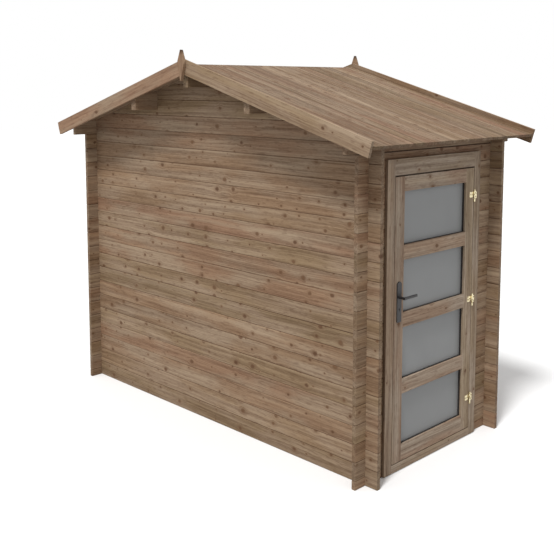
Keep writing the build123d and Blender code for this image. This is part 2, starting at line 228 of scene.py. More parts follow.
class Finish:
    """The nodes of one material, or of the world."""

    def __init__(self, name, store=bpy.data.materials):
        self.material = store.new(name)
        self.material.use_nodes = True
        self.tree = self.material.node_tree
        self.tree.nodes.clear()

    def node(self, kind, settings=None, sockets=None, output=0):
        """Adds any node: its settings first, then the values or links of its sockets."""
        node = self.tree.nodes.new(kind)
        for key, value in (settings or {}).items():
            setattr(node, key, value)
        for key, value in (sockets or {}).items():
            if isinstance(value, Shade):
                self.tree.links.new(value.socket, node.inputs[key])
            else:
                node.inputs[key].default_value = value
        return Shade(self, node.outputs[output]) if node.outputs else None

    def place(self):
        """X, Y and Z in the frame of the part at rest."""
        return self.node("ShaderNodeTexCoord", output="Object").parts()

    def facing(self):
        """The direction that the surface faces, in the frame of the part at rest."""
        return self.node("ShaderNodeTexCoord", output="Normal").parts()

    def vector(self, x, y, z):
        """Three values as a vector."""
        return self.node("ShaderNodeCombineXYZ", {}, {0: x, 1: y, 2: z})

    def noise(self, x, y, z, detail=2.0, roughness=0.5):
        """Soft noise with one blob to each unit along each axis."""
        return self.node("ShaderNodeTexNoise", {"noise_dimensions": "3D"},
                         {"Vector": self.vector(x, y, z), "Scale": 1.0, "Detail": detail,
                          "Roughness": roughness})

    def speckle(self, rate, detail=2.0):
        """Soft noise with that many blobs to the metre."""
        x, y, z = self.place()
        return self.noise(x * rate, y * rate, z * rate, detail)

    def chance(self, number):
        """Three unlike values between 0 and 1 for each whole number."""
        draw = self.node("ShaderNodeTexWhiteNoise", {"noise_dimensions": "1D"}, {"W": number}, "Color")
        return draw.parts()

    def mix(self, factor, first, second, blend="MIX"):
        """One colour laid over another."""
        return self.node("ShaderNodeMix", {"data_type": "RGBA", "blend_type": blend},
                         {0: factor, 6: first, 7: second}, 2)

    def bump(self, height, depth, strength=1.0):
        """Relief of that depth in metres."""
        return self.node("ShaderNodeBump", {}, {"Height": height, "Distance": depth, "Strength": strength})

    def surface(self, **sockets):
        """Ends the material in one Principled shader. Underscores in names stand for spaces."""
        named = {key.replace("_", " "): value for key, value in sockets.items()}
        self.close(self.node("ShaderNodeBsdfPrincipled", {}, named))
        return self.material

    def close(self, shader, kind="ShaderNodeOutputMaterial"):
        """Links the last shader to the output."""
        self.node(kind, {}, {"Surface": shader})

    def seen(self):
        """1 for what the camera sees, also in metal and through glass, and 0 for light on its way round."""
        rays = self.node("ShaderNodeLightPath")
        direct = rays.math("MAXIMUM", rays.output("Is Camera Ray"), rays.output("Is Glossy Ray"))
        return direct.math("MAXIMUM", direct, rays.output("Is Transmission Ray"))


def shade_of(red, green, blue):
    """A colour given as it looks on screen, from 0 to 255, for the shader."""
    def linear(level):
        """The light of one channel, by the usual screen curve."""
        share = level / 255
        return share / 12.92 if share <= 0.04045 else ((share + 0.055) / 1.055) ** 2.4
    return linear(red), linear(green), linear(blue)


def opaque(colour):
    """A colour property with its fourth value."""
    return (*colour, 1.0)


def grain_along_x(x, y, z):
    """Along, across and through a piece whose grain runs along X."""
    return x, z, y


def grain_along_y(x, y, z):
    """The same for a piece that runs along Y."""
    return y, z, x


def grain_upright(x, y, z):
    """The same for an upright."""
    return z, y, x


def grain_down_roof(x, y, z):
    """The same for a board that lies on a roof slope."""
    out = abs(x)
    return out * pitch_cos - z * pitch_sin, y, out * pitch_sin + z * pitch_cos


def grain_down_gable(x, y, z):
    """The same for a board on edge along the slope of a gable."""
    along, across, through = grain_down_roof(x, y, z)
    return along, through, across


def knot_field(finish, settings, u, v, w, knots):
    """Knots, at most one to each cell.

    Gives the core, the rim and the halo, how far across its knot a point lies, and a chance for the tone.
    """
    cell = finish.node("ShaderNodeTexVoronoi", {"voronoi_dimensions": "2D", "feature": "F1"},
                       {"Vector": finish.vector(u / settings.knot_spacing, v / settings.knot_row, 0.0),
                        "Scale": 1.0, "Randomness": 0.85})
    centre_u, centre_v, _ = cell.output("Position").parts()
    size_chance, there_chance, tone_chance = cell.output("Color").parts()
    off_u = u - centre_u * settings.knot_spacing
    off_v = v - centre_v * settings.knot_row
    size = settings.knot_radius * (0.4 + size_chance * size_chance)
    wobble = finish.noise(u * 70.0, v * 70.0, w * 70.0) * 0.7 + 0.65
    reach = (off_u * off_u * 0.6 + off_v * off_v).root() / size * wobble
    there = there_chance > 1.0 - knots * (1.0 - settings.clear_share)
    core = reach.step(1.15, 0.7) * there
    rim = reach.step(0.65, 1.0) * reach.step(1.6, 1.05) * there
    return core, rim, reach.step(4.2, 0.9) * there, off_v, tone_chance


def edge_stain_and_highlight(finish, settings, colour, up, highlight_chance, stain_chance):
    """A board's colour with stained edges, and on some boards a painted highlight below the upper one, where
    its bevel would catch the light.

    up says how far across its board a point lies, from 0 to 1.
    """
    depth = (stain_chance.step(0.3, 0.75) * 0.8 + 0.2) * settings.joint_stain
    stain = abs(up - HALF).step(0.462, 0.5) * depth
    # Painted highlight below the upper edge, in the sapwood colour
    painted_crest = up.step(0.86, 0.93) * up.step(0.975, 0.94) * highlight_chance.step(0.55, 0.8) * 0.35
    colour = finish.mix(painted_crest, colour, opaque(settings.sapwood_and_highlight))
    return finish.mix(stain, colour, opaque(settings.knot))


def sawn_end(settings, colour, pith_v, pith_w, patch):
    """A board's colour on its sawn ends, with rings round a pith that lies that far off. patch bends them."""
    rings = ((pith_v * pith_v + pith_w * pith_w).root() * 1500.0 + patch * 6.0).sine()
    return colour.scaled(settings.end_grain + rings * 0.07)


def wood_finish(name, grain, number, settings, light, dark, knots=1.0, joint=None, gap=None, rough=1.0):
    """Impregnated softwood: streaks, growth lines, knots, end grain, a tone of its own for each board, and
    painted highlight and shade where asked.

    grain turns a place into along, across and through. number gives each board its own whole number. knots is
    the share of the usual knots, and rough of the usual dashes. joint says how far across its board a point
    lies, from 0 to 1, where the edges are stained and some boards get a painted highlight below the upper
    edge.
    gap is 1 where the colour is darkened: painted shade in the gaps at the door and on the inner faces of the
    bargeboards, and a dark band on the joint over the door and at the finial tips. A number beside a place
    counts the blobs of noise to the metre.
    """
    finish = Finish(name)
    x, y, z = finish.place()
    along, across, through = grain(x, y, z)
    board = number(x, y, z)
    chance_a, chance_b, chance_c = finish.chance(board)
    chance_d, chance_e, chance_f = finish.chance(board + SECOND_DRAW)
    u = along + chance_a * 9.0
    v = across + chance_b * 7.0
    w = through + chance_c * 5.0

    core, rim, halo, off_v, tone_chance = knot_field(finish, settings, u, v, w, knots)

    # Streaks and growth lines follow the grain, which flows round the knots
    sway = finish.noise(u * 1.3, v * 5.0, w * 5.0, 1.0) - HALF
    flow = v - off_v * halo * 0.8 + sway * 0.035
    streak = finish.noise(u * 0.8, flow * 46.0, w * 46.0, 3.0, 0.6)
    fine = finish.noise(u * 2.6, flow * 125.0, w * 125.0, 3.0, 0.7)
    fleck = finish.noise(u * 38.0, flow * 90.0, w * 90.0, 2.0, 0.6)
    band = finish.noise(u * 0.55, flow * 15.0, w * 15.0, 1.0)
    rings = ((flow + through * 0.6) * 520.0 + finish.noise(u * 0.7, flow * 9.0, w * 9.0) * 16.0).sine()
    patch = finish.noise(u * 1.7, v * 7.0, board * 3.7, 2.0)
    dash = finish.noise(u * 14.0, flow * 75.0, w * 75.0, 1.0).step(0.56, 0.7)

    tone = streak.step(0.34, 0.66) * 0.42 + fine.step(0.32, 0.68) * 0.32 + band.step(0.35, 0.65) * 0.14
    tone = tone + fleck.step(0.3, 0.7) * 0.12
    tone = tone + rings * 0.05 * settings.grain_strength
    colour = finish.mix(tone, opaque(dark), opaque(light))
    warmth = patch.step(0.36, 0.62)
    tint = finish.mix(chance_d, opaque(settings.pink), opaque(settings.green))
    colour = finish.mix(warmth * settings.tint_strength, colour, tint, "SOFT_LIGHT")
    pale = band.step(0.56, 0.7) * chance_e.step(0.35, 0.8) * 0.4
    colour = finish.mix(pale, colour, opaque(settings.sapwood_and_highlight))
    colour = colour.scaled(1.0 - settings.board_variation * HALF + chance_f * settings.board_variation)
    colour = colour.scaled(1.08 - patch.step(0.3, 0.7) * 0.16)

    colour = finish.mix(dash * (settings.dashes * rough), colour, opaque(settings.knot))

    # Knots, stains, painted highlight and shade, and end grain
    colour = finish.mix(halo * 0.26, colour, opaque(settings.knot_ring))
    knot_tone = finish.mix(tone_chance * 0.75, opaque(settings.knot), opaque(settings.knot_ring))
    colour = finish.mix(core * 0.85, colour, knot_tone)
    colour = finish.mix(rim * 0.3, colour, opaque(settings.knot))
    if joint:
        colour = edge_stain_and_highlight(finish, settings, colour, joint(x, y, z), chance_b, chance_d)
    # Painted shade in the gaps at the door and on the inner bargeboard faces, and dark bands on the joint
    # over the door and at the finial tips, in the knot colour at four tenths
    if gap:
        dirt_and_shade = opaque([part * 0.4 for part in settings.knot])
        colour = finish.mix(gap(finish, x, y, z) * 0.85, colour, dirt_and_shade)
    facing_along, _, _ = grain_of_normal(finish, grain, x)
    end_colour = sawn_end(settings, colour, across + 0.4 * chance_b + 0.03, through + 0.05, patch)
    colour = finish.mix(abs(facing_along).step(0.6, 0.8), colour, end_colour)

    relief = fine * 0.5 + rings * 0.12 - rim * 0.5 + streak * 0.3
    return finish.surface(Base_Color=colour, Roughness=0.82 - tone * 0.14, Specular_IOR_Level=0.3,
                          Normal=finish.bump(relief, settings.grain_depth, 0.6))


def grain_of_normal(finish, grain, x):
    """The direction that the surface faces, turned into along, across and through the grain."""
    facing_x, facing_y, facing_z = finish.facing()
    if grain in (grain_down_roof, grain_down_gable):
        side = (x > 0.0) * 2.0 - 1.0
        down = facing_x * side * pitch_cos - facing_z * pitch_sin
        return down, facing_y, facing_z
    return grain(facing_x, facing_y, facing_z)


def casing_shade(finish, x, y, z):
    """Painted shade: a little on the outer edges of the casings and on their tops, and most of it where they
    meet the logs.
    """
    _, facing_y, facing_z = finish.facing()
    beside = abs(y - (frame_low.y + frame_high.y) / 2) > (frame_high.y - frame_low.y) / 2 + 0.01
    above = (z > frame_high.z - 0.001) * (facing_z > HALF)
    root = x < frame_high.x - FRAME_PROUD + GAP_SHADE_AND_STAIN
    return beside * (abs(facing_y) > HALF) * (root * 0.5 + 0.25) + above * 0.5


def leaf_gap_shade(finish, x, y, z):
    """Painted shade: 1 along the lower edge of the head, where the gap over the leaf lies in shade, and the
    painted shade on the outer edges of the casings.
    """
    return (z < leaf_high.z + LEAF_GAP + GAP_SHADE_AND_STAIN) * (z > swing_pin.z) + casing_shade(finish, x, y, z)


def over_door_gap(finish, x, y, z):
    """1 along the joint over the log that passes above the door."""
    return (abs(z - over_door_top) < GAP_SHADE_AND_STAIN) * (x > 0.0)


def shaded_inner_face(finish, x, y, z):
    """Painted shade, a little, on the inner faces of the bargeboards."""
    _, facing_y, _ = finish.facing()
    return (facing_y * (1.0 - far_side(y) * 2.0) > HALF) * 0.22


def weathered_tip(finish, x, y, z):
    """Rises to 1 at the tip of a finial."""
    return z.step(finial_high.z - TIP_STAIN, finial_high.z)


def far_side(y):
    """1 on the rear half of the shed, 0 on the front half."""
    return y > 0.0


def gable_log_number(x, y, z):
    """A number for each log of the gable walls."""
    return (z / LOG_COVER).floor() + far_side(y) * REAR_GABLE_START


def gable_log_joint(x, y, z):
    """How far up its gable log a point lies."""
    return (z / LOG_COVER).fraction()


def eaves_log_number(x, y, z):
    """A number for each log of the eaves walls, whose courses lie half a log higher."""
    door_wall = (x > 0.0) * (far_side(y) * BESIDE_DOOR_STEP + DOOR_WALL_STEP)
    return (z / LOG_COVER + HALF).floor() + door_wall + BACK_WALL_START


def eaves_log_joint(x, y, z):
    """How far up its eaves log a point lies."""
    return (z / LOG_COVER + HALF).fraction()


def purlin_number(x, y, z):
    """A number for each purlin."""
    return (x * 3.0 + HALF).floor() + PURLIN_START


def bargeboard_number(x, y, z):
    """A number for each bargeboard."""
    return (x > 0.0) + far_side(y) * 2.0 + BARGEBOARD_START


def finial_number(x, y, z):
    """A number for each finial."""
    return far_side(y) + FINIAL_START


def jamb_number(x, y, z):
    """A number for each jamb."""
    return far_side(y) + JAMB_START


def frame_cross_number(x, y, z):
    """A number for the head and the threshold."""
    return (z > swing_pin.z) + FRAME_CROSS_START


def stile_number(x, y, z):
    """A number for each stile."""
    return far_side(y) * 3.0 + STILE_START


def rail_number(x, y, z):
    """A number for each rail."""
    return (z / pane_pitch).floor() + RAIL_START


def dress(nodes, material):
    """Gives CAD nodes one finish."""
    for name in nodes:
        slots = frame["nodes"][name].data.materials
        slots.clear()
        slots.append(material)


def show(name, mesh, material, body):
    """Puts a finished mesh in the scene as a piece that rides on a body."""
    mesh.normal_update()
    data = bpy.data.meshes.new(name)
    mesh.to_mesh(data)
    mesh.free()
    data.materials.append(material)
    piece = bpy.data.objects.new(name, data)
    bpy.context.scene.collection.objects.link(piece)
    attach(piece, body)
    return piece


def bar(mesh, start, end):
    """Closed bar between two outlines with as many points."""
    first = [mesh.verts.new(point) for point in start]
    last = [mesh.verts.new(point) for point in end]
    count = len(first)
    for index in range(count):
        following = (index + 1) % count
        mesh.faces.new((first[index], first[following], last[following], last[index]))
    mesh.faces.new(list(reversed(first)))
    mesh.faces.new(last)


def dome(mesh, centre, facing, radius, height, sides=10):
    """Low domed head of a nail or screw, standing on a face."""
    turn = Vector(facing).to_track_quat("Z", "Y").to_matrix()
    rings = []
    for share, level in HEAD_RINGS:
        ring = []
        for index in range(sides):
            angle = 2 * pi * index / sides
            spot = Vector((cos(angle) * radius * share, sin(angle) * radius * share, height * level))
            ring.append(mesh.verts.new(centre + turn @ spot))
        rings.append(ring)
    for low, high in zip(rings, rings[1:]):
        for index in range(sides):
            following = (index + 1) % sides
            mesh.faces.new((low[index], low[following], high[following], high[index]))
    mesh.faces.new(rings[-1])
    mesh.faces.new(list(reversed(rings[0])))


class ShedWood(bpy.types.PropertyGroup):
    """Colours and figure of the wood."""

    light: FloatVectorProperty(
        name="Light wood", description="Streaks of early wood on the walls", subtype="COLOR", size=3,
        default=shade_of(174, 151, 126))
    dark: FloatVectorProperty(
        name="Dark wood", description="Streaks of late wood on the walls", subtype="COLOR", size=3,
        default=shade_of(116, 93, 73))
    trim_light: FloatVectorProperty(
        name="Light trim", description="Streaks of early wood on the bargeboards and finials",
        subtype="COLOR", size=3, default=shade_of(171, 149, 125))
    trim_dark: FloatVectorProperty(
        name="Dark trim", description="Streaks of late wood on the bargeboards and finials",
        subtype="COLOR", size=3, default=shade_of(123, 100, 80))
    door_light: FloatVectorProperty(
        name="Light joinery", description="Streaks of early wood on the door and its frame", subtype="COLOR",
        size=3, default=shade_of(190, 172, 153))
    door_dark: FloatVectorProperty(
        name="Dark joinery", description="Streaks of late wood on the door and its frame", subtype="COLOR",
        size=3, default=shade_of(124, 105, 87))
    roof_light: FloatVectorProperty(
        name="Light roof board", description="Streaks of early wood on the roof", subtype="COLOR", size=3,
        default=shade_of(157, 134, 110))
    roof_dark: FloatVectorProperty(
        name="Dark roof board", description="Streaks of late wood on the roof", subtype="COLOR", size=3,
        default=shade_of(93, 74, 56))
    # Also the colour of the painted highlight below the upper edge of some boards
    sapwood_and_highlight: FloatVectorProperty(
        name="Sapwood", description="Pale bands at the edge of the tree", subtype="COLOR", size=3,
        default=shade_of(178, 156, 130))
    pink: FloatVectorProperty(
        name="Heartwood tint", description="Warm tint of some boards", subtype="COLOR", size=3,
        default=shade_of(190, 130, 105))
    green: FloatVectorProperty(
        name="Impregnation tint", description="Greenish tint of some boards", subtype="COLOR", size=3,
        default=shade_of(150, 145, 95))
    # The knot colour, at four tenths, is also the painted shade in the gaps
    knot: FloatVectorProperty(
        name="Knot", description="Core of a knot, and the stain in a joint", subtype="COLOR", size=3,
        default=shade_of(88, 58, 37))
    knot_ring: FloatVectorProperty(
        name="Knot ring", description="Wood that flows round a knot", subtype="COLOR", size=3,
        default=shade_of(122, 90, 63))
    knot_radius: FloatProperty(
        name="Knot radius", description="Radius of a large knot", default=0.0095, unit="LENGTH")
    knot_spacing: FloatProperty(
        name="Knot spacing", description="Length of board to one knot", default=0.17, unit="LENGTH")
    knot_row: FloatProperty(
        name="Knot row", description="Width of board to one knot", default=0.065, unit="LENGTH")
    clear_share: FloatProperty(
        name="Clear share", description="Share of the board that has no knot", default=0.5, subtype="FACTOR")
    door_knots: FloatProperty(
        name="Joinery knots", description="Share of the usual knots on the door and its frame", default=0.3,
        subtype="FACTOR")
    tint_strength: FloatProperty(
        name="Tint strength", description="How far tints colour the boards", default=0.4, subtype="FACTOR")
    grain_strength: FloatProperty(
        name="Grain strength", description="How far growth lines stand out", default=1.0, subtype="FACTOR")
    dashes: FloatProperty(
        name="Resin dashes", description="Darkness of the short resin dashes", default=0.3, subtype="FACTOR")
    grain_depth: FloatProperty(
        name="Grain depth", description="Relief of the planed surface", default=0.0009, unit="LENGTH")
    board_variation: FloatProperty(
        name="Board variation", description="How far boards differ in tone", default=0.16, subtype="FACTOR")
    joint_stain: FloatProperty(
        name="Joint stain", description="Darkness along the joints", default=0.7, subtype="FACTOR")
    end_grain: FloatProperty(
        name="End grain", description="Tone of sawn ends against the faces", default=0.78, subtype="FACTOR")


class ShedRoof(bpy.types.PropertyGroup):
    """Sizes of the roof boards, the finials and the nails."""

    cover: FloatProperty(
        name="Board cover", description="Width that each roof board covers", default=0.096, unit="LENGTH")
    gap: FloatProperty(
        name="Board gap", description="Gap between roof boards", default=0.0008, unit="LENGTH")
    arris: FloatProperty(
        name="Top arris", description="Rounding of the upper edges", default=0.0014, unit="LENGTH")
    bevel: FloatProperty(
        name="Under bevel", description="Bevel of the lower edges", default=0.0035, unit="LENGTH")
    tongue: FloatProperty(
        name="Tongue", description="How far a board reaches into the next", default=0.006, unit="LENGTH")
    ragged: FloatProperty(
        name="Ragged ends", description="How far the lower ends differ", default=0.0025, unit="LENGTH")
    finial_width: FloatProperty(
        name="Finial width", description="Share of its blank that a finial keeps over its shoulders",
        default=0.85, subtype="FACTOR")
    shoulder_drop: FloatProperty(
        name="Shoulder drop", description="Share of a finial's height that lies above its shoulders",
        default=0.42, subtype="FACTOR")
    shoulder_round: FloatProperty(
        name="Shoulder rounding", description="Length of each flank that the rounding takes", default=0.014,
        unit="LENGTH")
    finial_tip: FloatProperty(
        name="Finial tip", description="Half the width of a finial's blunt ends", default=0.003,
        unit="LENGTH")
    nail_radius: FloatProperty(
        name="Nail head", description="Radius of a nail head", default=0.0032, unit="LENGTH")
    nail_edge: FloatProperty(
        name="Nail edge", description="Distance of a nail from the edge of its board", default=0.022,
        unit="LENGTH")


class ShedMetal(bpy.types.PropertyGroup):
    """Colours of the metal, the glass and small fixings."""

    brass: FloatVectorProperty(
        name="Brass", description="Hinges", subtype="COLOR", size=3, default=shade_of(240, 228, 190))
    # Painted shade and dark reflections on the hinges, which also stand for tarnish
    tarnish_and_painted_shade: FloatVectorProperty(
        name="Tarnish", description="Darker spots on the hinges", subtype="COLOR", size=3,
        default=shade_of(128, 100, 46))
    screw: FloatVectorProperty(
        name="Screw", description="Hinge screws", subtype="COLOR", size=3, default=shade_of(120, 104, 70))
    black: FloatVectorProperty(
        name="Black", description="Handle and its plates", subtype="COLOR", size=3,
        default=shade_of(40, 38, 39))
    nail: FloatVectorProperty(
        name="Nail", description="Weathered zinc", subtype="COLOR", size=3, default=shade_of(96, 88, 80))
    pane: FloatVectorProperty(
        name="Pane", description="Frosted pane", subtype="COLOR", size=3, default=shade_of(143, 144, 144))
    seal: FloatVectorProperty(
        name="Seal", description="Rubber round the panes", subtype="COLOR", size=3,
        default=shade_of(38, 32, 29))
    seal_thickness: FloatProperty(
        name="Seal thickness", description="How far the seal stands into the opening", default=0.0025,
        unit="LENGTH")
    seal_setback: FloatProperty(
        name="Seal setback", description="Distance of the seal behind the front of the leaf", default=0.0135,
        unit="LENGTH")
    pane_roughness: FloatProperty(
        name="Pane frosting", description="How far the pane scatters light", default=0.5, subtype="FACTOR")
    screw_radius: FloatProperty(
        name="Screw head", description="Radius of a hinge screw", default=0.0038, unit="LENGTH")


class ShedStage(bpy.types.PropertyGroup):
    """Floor, lights and camera."""

    floor: FloatVectorProperty(
        name="Floor", description="Colour of the floor for the light that it sends up", subtype="COLOR",
        size=3, default=(0.45, 0.45, 0.45))
    floor_radius: FloatProperty(
        name="Floor radius", description="How far the floor reaches", default=40.0, unit="LENGTH")
    ambient: FloatProperty(name="Ambient", description="Light from all round", default=0.6)
    key: FloatProperty(name="Key light", description="Strength of the key light", default=2.2)
    key_softness: FloatProperty(
        name="Key softness", description="Width of the key light as seen from the shed", default=radians(10),
        subtype="ANGLE")
    key_travel: FloatVectorProperty(
        name="Key direction", description="Way that the key light travels", subtype="DIRECTION", size=3,
        default=(-0.156, 0.469, -0.869))
    camera_place: FloatVectorProperty(
        name="Camera", description="Place of the camera", subtype="XYZ", unit="LENGTH", size=3,
        default=(4.4862, -4.4424, 2.3693))
    camera_turn: FloatProperty(
        name="Camera turn", description="Turn of the view about the vertical", default=radians(45.271),
        subtype="ANGLE")
    camera_dip: FloatProperty(
        name="Camera dip", description="How far the view points below level", default=radians(6.196),
        subtype="ANGLE")
    camera_lens: FloatProperty(
        name="Lens", description="Focal length on a sensor 36 mm wide", default=55.548, unit="CAMERA")
    camera_shift: FloatProperty(
        name="Lens shift", description="Shift of the view, in widths of the frame", default=-0.18)


class SHED_OT_wall_logs(bpy.types.Operator):
    """Finishes the logs of the four walls"""

    bl_idname = "shed.wall_logs"
    bl_label = "Wall logs"

    def execute(self, context):
        wood = context.scene.shed_wood
        dress(GABLE_WALL_NODES, wood_finish("gable_log_wood", grain_along_x, gable_log_number, wood,
                                            wood.light, wood.dark, joint=gable_log_joint))
        dress(EAVES_WALL_NODES, wood_finish("eaves_log_wood", grain_along_y, eaves_log_number, wood,
                                            wood.light, wood.dark, joint=eaves_log_joint, gap=over_door_gap))
        return {"FINISHED"}


class SHED_OT_roof_trim(bpy.types.Operator):
    """Finishes the purlins and the bargeboards"""

    bl_idname = "shed.roof_trim"
    bl_label = "Roof trim"

    def execute(self, context):
        wood = context.scene.shed_wood
        dress(PURLIN_NODES, wood_finish("purlin_wood", grain_along_y, purlin_number, wood, wood.light,
                                        wood.dark))
        dress(BARGEBOARD_NODES, wood_finish("bargeboard_wood", grain_down_gable, bargeboard_number, wood,
                                            wood.trim_light, wood.trim_dark, knots=0.3, gap=shaded_inner_face))
        return {"FINISHED"}


class SHED_OT_finials(bpy.types.Operator):
    """Cuts the spearhead boards over the joints of the bargeboards"""

    bl_idname = "shed.finials"
    bl_label = "Finials"

    def execute(self, context):
        wood = context.scene.shed_wood
        material = wood_finish("finial_wood", grain_upright, finial_number, wood, wood.trim_light,
                               wood.trim_dark, knots=0.2, gap=weathered_tip)
        for name in FINIAL_NODES:
            board = bmesh.new()
            self.cut(board, context.scene.shed_roof, *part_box(name))
            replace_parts(show(f"{name}_board", board, material, CABIN), name)
        return {"FINISHED"}

    def cut(self, mesh, roof, low, high):
        """One board with straight flanks, rounded shoulders and softened arrises."""
        shoulder = (high.x - low.x) / 2 * roof.finial_width
        height = high.z - (high.z - low.z) * roof.shoulder_drop
        half = ((roof.finial_tip, high.z), (shoulder, height), (roof.finial_tip, low.z))
        outline = [(-x, z) for x, z in half] + [(x, z) for x, z in reversed(half)]
        bar(mesh, [(x, low.y, z) for x, z in outline], [(x, high.y, z) for x, z in outline])
        bmesh.ops.recalc_face_normals(mesh, faces=mesh.faces)
        shoulders = [edge for edge in mesh.edges
                     if min(abs(vert.co.x) for vert in edge.verts) > shoulder * HALF]
        self.round_off(mesh, shoulders, roof.shoulder_round, steps=5)
        rims = [edge for edge in mesh.edges if abs(edge.verts[0].co.y - edge.verts[1].co.y) < roof.gap]
        self.round_off(mesh, rims, roof.arris, steps=2)
        # The bevels leave the faces in an order that differs from run to run
        for index, face in enumerate(sorted(mesh.faces, key=lambda face: tuple(face.calc_center_median()))):
            face.index = index
        mesh.faces.sort()

    def round_off(self, mesh, edges, size, steps):
        """Rounds edges of a board."""
        bmesh.ops.bevel(mesh, geom=edges, offset=size, segments=steps, profile=HALF, affect="EDGES")


class SHED_OT_roof_boards(bpy.types.Operator):
    """Lays the tongued boards of both roof slopes, each with its nails"""

    bl_idname = "shed.roof_boards"
    bl_label = "Roof boards"

    def execute(self, context):
        roof = context.scene.shed_roof
        wood = context.scene.shed_wood
        material = wood_finish("roof_board_wood", grain_down_roof, self.number(roof), wood, wood.roof_light,
                               wood.roof_dark, knots=0.75, joint=self.across(roof), rough=1.9)
        nail = metal_finish("nail_zinc", context.scene.shed_metal.nail, 0.62, 0.6)
        for side, name in ((1, "door_side_roof"), (-1, "back_side_roof")):
            boards = bmesh.new()
            nails = bmesh.new()
            for index, (y0, y1) in enumerate(self.board_edges(roof)):
                self.lay(boards, roof, side, index, y0, y1)
                self.drive(nails, roof, side, y0, y1)
            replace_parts(show(f"{name}_boards", boards, material, CABIN), name)
            show(f"{name}_nails", nails, nail, CABIN)
        return {"FINISHED"}

    def board_edges(self, roof):
        """Both edges of each board. The outermost boards are ripped to the same width."""
        width = deck_high.y - deck_low.y
        count = ceil(width / roof.cover)
        outer = (width - (count - 2) * roof.cover) / 2
        edges = [deck_low.y] + [deck_low.y + outer + index * roof.cover for index in range(count - 1)]
        edges.append(deck_high.y)
        return list(zip(edges, edges[1:]))

    def number(self, roof):
        """Gives the function that numbers the roof boards."""
        first = self.board_edges(roof)[0][1]
        return lambda x, y, z: ((y - first) / roof.cover).floor() + (x > 0.0) * ROOF_SIDE_STEP + ROOF_START

    def across(self, roof):
        """Gives the function that says how far across its roof board a point lies."""
        first = self.board_edges(roof)[0][1]
        return lambda x, y, z: ((y - first) / roof.cover).fraction()

    def spot(self, side, down, y, out):
        """A place on a roof slope: down from the ridge, along it, and out of the top face."""
        return Vector((side * (down * pitch_cos + out * pitch_sin), y,
                       ridge_top - down * pitch_sin + out * pitch_cos))

    def lay(self, mesh, roof, side, index, y0, y1):
        """One board, cut plumb at the ridge and square at the eaves."""
        low = y0 + roof.gap / 2
        high = y1 - roof.gap / 2
        last = y1 > deck_high.y - roof.gap
        first = y0 < deck_low.y + roof.gap
        reach = 0.0 if last else roof.tongue
        hollow = 0.0 if first else roof.tongue + roof.gap
        upper = -ROOF_BOARD * TONGUE_TOP
        lower = -ROOF_BOARD * TONGUE_FOOT
        section = [(low, lower), (low, roof.bevel - ROOF_BOARD), (low + roof.bevel, -ROOF_BOARD),
                   (high - roof.bevel, -ROOF_BOARD), (high, roof.bevel - ROOF_BOARD), (high, lower),
                   (high + reach, lower), (high + reach, upper), (high, upper), (high, -roof.arris),
                   (high - roof.arris, 0.0), (low + roof.arris, 0.0), (low, -roof.arris), (low, upper),
                   (low + hollow, upper), (low + hollow, lower)]
        length = deck_high.x / pitch_cos - roof.ragged * self.chance(side, index)
        top = [self.spot(side, (deck_low.x - out * pitch_sin) / pitch_cos, y, out) for y, out in section]
        foot = [self.spot(side, length, y, out) for y, out in section]
        if side > 0:
            bar(mesh, top, foot)
        else:
            bar(mesh, foot, top)

    def chance(self, side, index):
        """A value between 0 and 1 for each board, from the far digits of a sine."""
        return (sin(index * 12.9898 + side * 4.1) * 43758.5453) % 1.0

    def drive(self, mesh, roof, side, y0, y1):
        """Two nails to a board over the ridge purlin, the side purlin and the wall."""
        facing = (side * pitch_sin, 0.0, pitch_cos)
        side_low, side_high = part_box("door_side_purlin")
        top_low, top_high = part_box("door_wall_top_log")
        lines = (RIDGE_NAIL, (side_low.x + side_high.x) / 2, (top_low.x + top_high.x) / 2)
        edges = (y0 + roof.nail_edge, y1 - roof.nail_edge)
        for x in lines:
            for y in edges:
                dome(mesh, self.spot(side, x / pitch_cos, y, 0.0), facing, roof.nail_radius, NAIL_HEIGHT)


def metal_finish(name, colour, metallic, roughness):
    """Metal with a worn, uneven surface."""
    finish = Finish(name)
    smear = finish.speckle(60.0, 3.0)
    speck = finish.speckle(900.0)
    shade = finish.mix(smear.step(0.4, 0.75) * 0.35, opaque(colour), opaque([part * 0.6 for part in colour]))
    return finish.surface(Base_Color=shade, Metallic=metallic, Roughness=smear * 0.2 + (roughness - 0.1),
                          Normal=finish.bump(speck, 0.00008, 0.5))


class SHED_OT_door_frame(bpy.types.Operator):
    """Finishes the jambs, the head and the threshold"""

    bl_idname = "shed.door_frame"
    bl_label = "Door frame"

    def execute(self, context):
        wood = context.scene.shed_wood
        dress(JAMB_NODES, wood_finish("jamb_wood", grain_upright, jamb_number, wood, wood.door_light,
                                      wood.door_dark, wood.door_knots, gap=casing_shade))
        dress(FRAME_CROSS_NODES, wood_finish("frame_head_wood", grain_along_y, frame_cross_number, wood,
                                             wood.door_light, wood.door_dark, wood.door_knots, gap=leaf_gap_shade))
        return {"FINISHED"}


